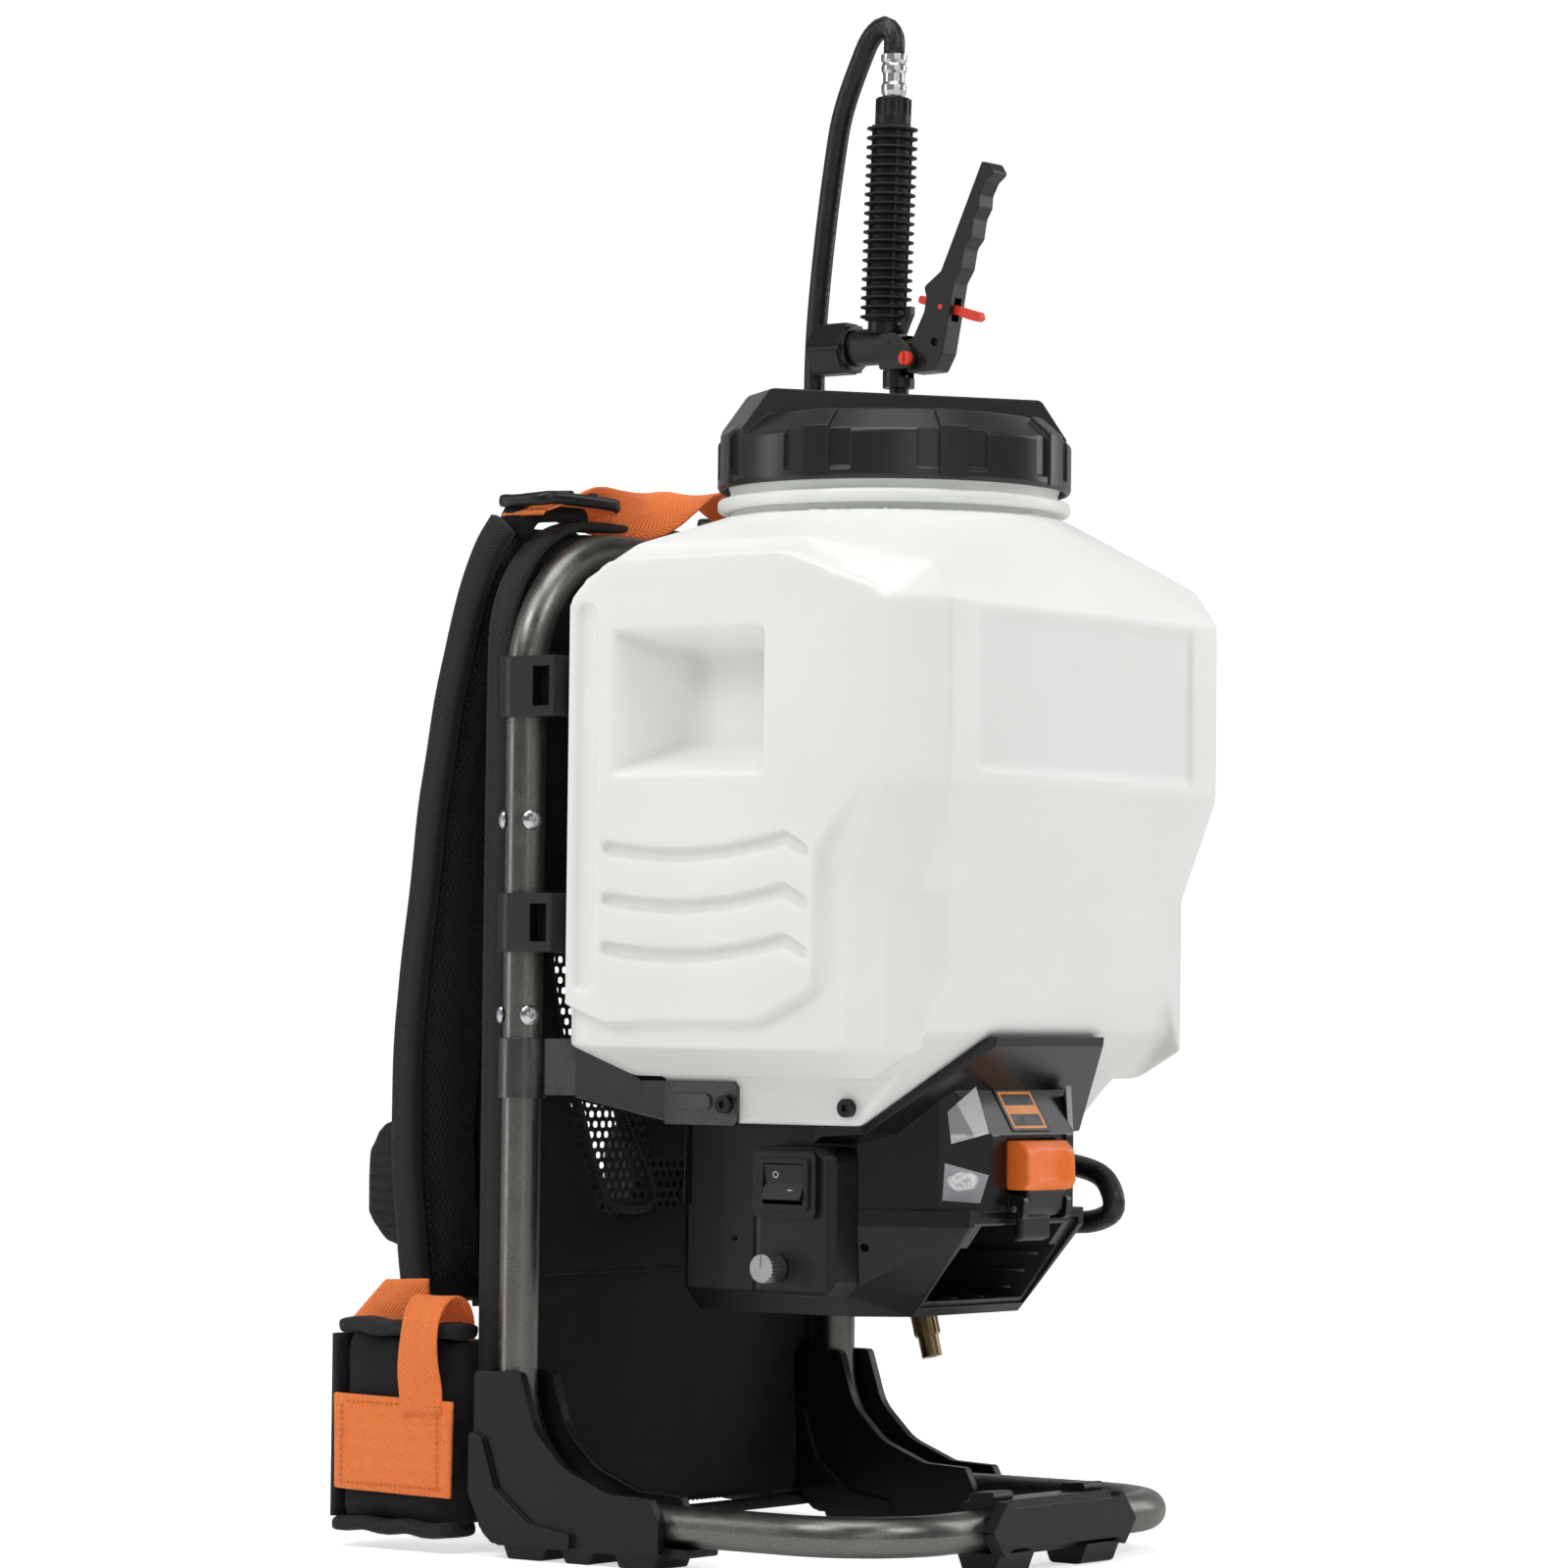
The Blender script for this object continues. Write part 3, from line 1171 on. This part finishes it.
def front_loop(side):
    """Out beside the pad's edge, rolled over and down under the band."""
    line = mirrored(FRONT_LOOP, side, 0.0025)
    ups = []
    for i in range(len(line)):
        share = i / (len(line) - 1)
        lean = min(1, max(0, (share - 0.62) / 0.38))
        ups.append(Vector((side * 0.10 * math.sin(share * 9), 1.0 - 0.12 * lean,
                           -0.55 * lean * lean)).normalized())
    return sweep(line, ups, strap_section(0.0245, 0.0016, crown=0.0005), "webbing")


def make_harness_webbing():
    parts, threads = [], []
    for side in SIDES:
        parts.append(sweep(mirrored(HIP_BAND, side, 0.003), Vector((0, 0.02, 1)),
                           strap_section(0.046, 0.0017, parts=10), "webbing"))
        for row in BAND_STITCHES:
            threads.append(stitches(mirrored(row, side, 0.003), X_AXIS * side, "thread_orange",
                                    pitch=0.003, length=0.002))
        parts.append(front_loop(side))
        parts.append(folded_loop(side))
        parts.append(sweep(mirrored(ADJUSTER, side, 0.003), X_AXIS,
                           strap_section(0.010, 0.0016, parts=6), "webbing"))
    attach(join(parts, "harness_webbing"), replaces="strap_webbing")
    attach(join(threads, "webbing_stitching"))


# carry handle, left buckle to right: x, y, z in mm, turn about X in degrees
CARRY = ((-104, 18, 500.0, 8), (-84, 16.5, 504.4, 22), (-70, 15.5, 505.4, 45),
         (-58, 14, 504.4, 70), (-45, 12, 503.2, 88), (-31, 9, 503.4, 103),
         (-19, 6, 506.5, 126), (-9, 3, 511.5, 152), (2, 1, 515.6, 176), (15, 0, 515.4, 192),
         (28, 0, 512.6, 208), (42, 1, 509.2, 218), (58, 4, 505.6, 208), (76, 9, 502.8, 190),
         (92, 13, 501.6, 182))
# its tail, folded back through the left slider
CARRY_TAIL = ((-50, 20, 503.8), (-62, 20, 505.4), (-78, 20.5, 505.6), (-96, 21, 504.8),
              (-104, 21.2, 502.0), (-107.5, 21, 499.0))


def carry_up(place):
    """Direction across the handle, from the turn at its x."""
    x = (place.x - MID_X) * 1000
    k = 0
    while k < len(CARRY) - 2 and x > CARRY[k + 1][0]:
        k += 1
    (x0, *_, turn0), (x1, *_, turn1) = CARRY[k:k + 2]
    share = min(1, max(0, (x - x0) / (x1 - x0)))
    turn = math.radians(turn0 * (1 - share) + turn1 * share)
    return Vector((0, math.cos(turn), -math.sin(turn)))


def make_carry_handle():
    line = curve([point(x, y, z) for x, y, z, _ in CARRY], 0.0025)
    raw = [carry_up(place) for place in line]
    last = len(raw) - 1
    ups = [sum((raw[min(max(i + d, 0), last)] for d in range(-2, 3)), Vector()).normalized()
           for i in range(len(raw))]
    handle = sweep(line, ups, strap_section(0.025, 0.0017, crown=0.0004), "webbing")
    tail = sweep(mirrored(CARRY_TAIL, 1, 0.003), Vector((0.0, 1, 0.05)),
                 strap_section(0.025, 0.0016), "webbing")
    attach(join([handle, tail], "carry_webbing"), replaces="carry_handle")


def buckle(length, width, bar, arch, place):
    """A ladder frame with two cross bars; length and width in mm, bar and arch in metres."""
    a, b = length / 2, width / 2

    def lift(x):
        return arch * (1 - (2 * x / length) ** 2)

    outline = rounded_polygon([(-a, -b), (a, -b), (a, b), (-a, b)], [4] * 4, 6)
    line = curve([Vector((p.x / 1000, p.y / 1000, lift(p.x))) for p in outline], 0.002,
                 closed=True)
    parts = [sweep(line, Z_AXIS, oval_section(bar, 0.0025, 14, 0.7), "black_plastic",
                   closed=True)]
    for x in (-length / 6, length / 6):
        line = [Vector((x / 1000, y / 1000, lift(x) + rise))
                for y, rise in ((-b, 0), (0, 0.0006), (b, 0))]
        parts.append(sweep(line, Z_AXIS, oval_section(bar * 0.9, 0.0026, 14, 0.8),
                           "black_plastic"))
    for part in parts:
        part.matrix_world = place
    return parts


def make_buckles():
    """Sliders on the carry handle, and smaller ones at the shoulder straps' feet."""
    parts = []
    for side in SIDES:
        parts += buckle(56, 29, 0.0031, 0.0030, Matrix.Translation(point(side * 79, 21, 506.2)))
    tilt = Matrix.Rotation(math.radians(80), 4, "X")
    for side in SIDES:
        parts += buckle(34, 12, 0.0022, 0.0,
                        Matrix.Translation(point(side * 78, 99.5, 103.5)) @ tilt)
    bpy.context.view_layer.update()
    attach(join(parts, "slider_buckles"), replaces="buckles")


make_harness_webbing()
make_carry_handle()
make_buckles()


# ---------------------------------------------------------------- small pieces
def make_release_paddle():
    """Orange finger pad with a scooped face over a black catch."""
    split_z = 0.1772
    centre = point(0, -218, 187.0)
    paddle = voxel_copy("battery_latch", "release_paddle_shell", "orange_plastic",
                        voxel=0.0007, smoothing=4)

    def scoop(place, normal):
        if normal.y > -0.45 or place.z < 0.1785:
            return 0.0
        a, b = (place.x - centre.x) / 0.0125, (place.z - centre.z) / 0.0095
        return -0.0022 * math.exp(-(a ** 4 + b ** 4))

    displace(paddle, scoop)
    paddle.data.materials.append(materials["black_plastic"])
    for face in paddle.data.polygons:
        face.material_index = 1 if face.center.z < split_z else 0
    smooth_all(paddle.data)
    attach(paddle, replaces="battery_latch", body="release_paddle")


def make_bay_ribs():
    """Guide ribs along the bay's side walls and floor."""
    ribs = []
    for side in SIDES:
        for z, end_y in ((128.5, -168), (137.0, -176), (145.5, -184)):
            line = curve([point(side * 40.3, y, z) for y in (-110, -140, end_y + 6)]
                         + [point(side * 41.1, end_y, z)], 0.006)
            ribs.append(sweep(line, Z_AXIS, oval_section(0.0011, 0.0013, 12, 0.6),
                              "bay_plastic"))
    for x in (-24, 0, 24):
        line = curve([point(x, y, 124.1) for y in (-110, -140, -164)], 0.006)
        ribs.append(sweep(line, X_AXIS, oval_section(0.0016, 0.0008, 12, 0.6), "bay_plastic"))
    attach(join(ribs, "bay_guide_ribs"))


# x, y, z in mm for the right side, x mirrored for the left
STRAP_ROLL = ((103, 29, 491), (104, 26.5, 497), (101, 24, 501.6), (92, 21.5, 503.2),
              (80, 20, 503.6), (69, 19, 503.2))


def make_strap_rolls():
    """Rolled fabric ends that carry the shoulder straps' tops in under the buckles."""
    rolls = []
    for side in SIDES:
        line = mirrored(STRAP_ROLL, side, 0.002)
        rolls.append(sweep(line, least_twist(line, Y_AXIS),
                           oval_section(0.0098, 0.0043, 22, 0.85), "pad_fabric"))
    attach(join(rolls, "strap_top_rolls"))


def rocker_point(along, up):
    """A place just off the rocker's bent face, in mm along Y and up from its middle."""
    x = -3.4 - (2.2 * abs(up) / 8.3)
    face = Matrix.Rotation(math.radians(8), 3, "Y") @ Vector(((x - 0.12) / 1000, 0, up / 1000))
    return point(-91, -131.5, 179.5) + face + Vector((0, along / 1000, 0))


def make_rocker_marks():
    """Switch symbols: ring for off, bar for on."""
    ring = [rocker_point(4.6 + a, 3.6 + b) for a, b in round_section(1.35, 24)]
    off = sweep(ring, X_AXIS, round_section(0.00022, 8), "ink_white", "rocker_mark_off",
                closed=True)
    attach(off, body="rocker")
    bar = [rocker_point(-3.0, -3.6), rocker_point(-5.8, -3.6)]
    on = sweep(bar, Z_AXIS, round_section(0.00028, 8), "ink_white", "rocker_mark_on")
    attach(on, body="rocker")


make_release_paddle()
make_bay_ribs()
make_strap_rolls()
make_rocker_marks()

# ---------------------------------------------------------------- studio
CAMERA_AZIMUTH = math.radians(52.367)  # from the -Y side towards -X


def make_backdrop():
    """Pale floor that sweeps up into a pale wall behind the object."""
    near, bend, top, half_width = -6.0, 1.6, 6.0, 7.0  # the bend's start is also its radius
    ahead = Vector((math.sin(CAMERA_AZIMUTH), math.cos(CAMERA_AZIMUTH), 0))
    side = Vector((math.cos(CAMERA_AZIMUTH), -math.sin(CAMERA_AZIMUTH), 0))
    profile = [(near + (bend - near) * k / 23, 0.0) for k in range(24)]
    for k in range(1, 25):
        angle = math.pi / 2 * k / 24
        profile.append((bend + bend * math.sin(angle), bend - bend * math.cos(angle)))
    profile.append((2 * bend, top))
    verts = []
    for reach, z in profile:
        for aside in (-half_width, half_width):
            place = ahead * reach + side * aside
            verts.append((place.x, place.y, z - 0.0002))
    faces = [(2 * k, 2 * k + 1, 2 * k + 3, 2 * k + 2) for k in range(len(profile) - 1)]
    mat = Material("studio_sweep")
    base = mat.mix(mat.remap(mat.noise(2, detail=3)), (0.90, 0.90, 0.895), (0.93, 0.93, 0.925))
    seen = mat.node("LightPath").outputs["Is Camera Ray"]
    mat.set(Base_Color=base, Roughness=0.75, Specular_IOR_Level=0.1,
            Emission_Color=(1, 1, 1, 1), Emission_Strength=mat.remap(seen, (0, 1), (0.10, 0.60)))
    build("studio_sweep", verts, faces, [materials["studio_sweep"]], outward=False)


def make_world():
    """Dim fill light that the camera sees as bright as the sweep, so no edge shows."""
    lit, extra_seen = 0.12, 0.88
    world = bpy.data.worlds.new("studio")
    bpy.context.scene.world = world
    world.use_nodes = True
    tree = world.node_tree
    background = tree.nodes["Background"]
    background.inputs[0].default_value = (0.93, 0.95, 1.0, 1)
    path = tree.nodes.new("ShaderNodeLightPath")
    strength = tree.nodes.new("ShaderNodeMath")
    strength.operation = "MULTIPLY_ADD"
    strength.inputs[1].default_value = extra_seen
    strength.inputs[2].default_value = lit
    tree.links.new(path.outputs["Is Camera Ray"], strength.inputs[0])
    tree.links.new(strength.outputs[0], background.inputs[1])


def area_light(name, azimuth, elevation, distance, width, power, height=None, target_z=0.35):
    """Aimed at the object's axis; azimuth 0 is on the -Y side, 90 on +X, in degrees."""
    light = bpy.data.lights.new(name, "AREA")
    light.shape = "RECTANGLE"
    light.size = width
    light.size_y = height or width
    light.energy = power
    obj = bpy.data.objects.new(name, light)
    a, e = math.radians(azimuth), math.radians(elevation)
    target = Vector((0, 0, target_z))
    away = Vector((math.sin(a) * math.cos(e), -math.cos(a) * math.cos(e), math.sin(e)))
    place = target + away * distance
    obj.location = place
    obj.rotation_euler = (target - place).to_track_quat("-Z", "Y").to_euler()
    link(obj)


def make_camera():
    distance, height = 2.85673, 0.260234
    yaw, pitch, roll = (math.radians(a) for a in (0.940, 2.258, -0.645))
    place = Vector((-math.sin(CAMERA_AZIMUTH) * distance + MID_X,
                    -math.cos(CAMERA_AZIMUTH) * distance + TUBES_Y, height))
    heading = CAMERA_AZIMUTH + yaw
    ahead = Vector((math.sin(heading) * math.cos(pitch), math.cos(heading) * math.cos(pitch),
                    math.sin(pitch)))
    level = Vector((math.cos(heading), -math.sin(heading), 0))
    upright = level.cross(ahead)
    right = math.cos(roll) * level - math.sin(roll) * upright
    up = math.sin(roll) * level + math.cos(roll) * upright
    camera = bpy.data.cameras.new("camera")
    camera.sensor_width = 36
    camera.lens = 132.28
    camera.clip_end = 50
    obj = link(bpy.data.objects.new("camera", camera))
    rows = [(right[k], up[k], -ahead[k], place[k]) for k in range(3)]
    obj.matrix_world = Matrix((*rows, (0, 0, 0, 1)))
    bpy.context.scene.camera = obj


make_backdrop()
make_world()
area_light("key", azimuth=-100, elevation=46, distance=2.4, width=0.9, power=20)
area_light("front", azimuth=-6, elevation=34, distance=2.4, width=0.8, power=14)
area_light("top", azimuth=-50, elevation=80, distance=2.2, width=1.3, power=21)
area_light("strip_left", azimuth=-140, elevation=12, distance=1.9, width=0.3, power=7,
           height=1.6)
area_light("soft_front", azimuth=-40, elevation=10, distance=2.8, width=1.1, power=5,
           target_z=0.45)
area_light("rim_right", azimuth=60, elevation=20, distance=2.2, width=0.4, power=11,
           height=1.6)
make_camera()
view = bpy.context.scene.view_settings
view.view_transform = "Standard"
view.look = "None"
view.exposure = 0.0

bpy.context.view_layer.update()
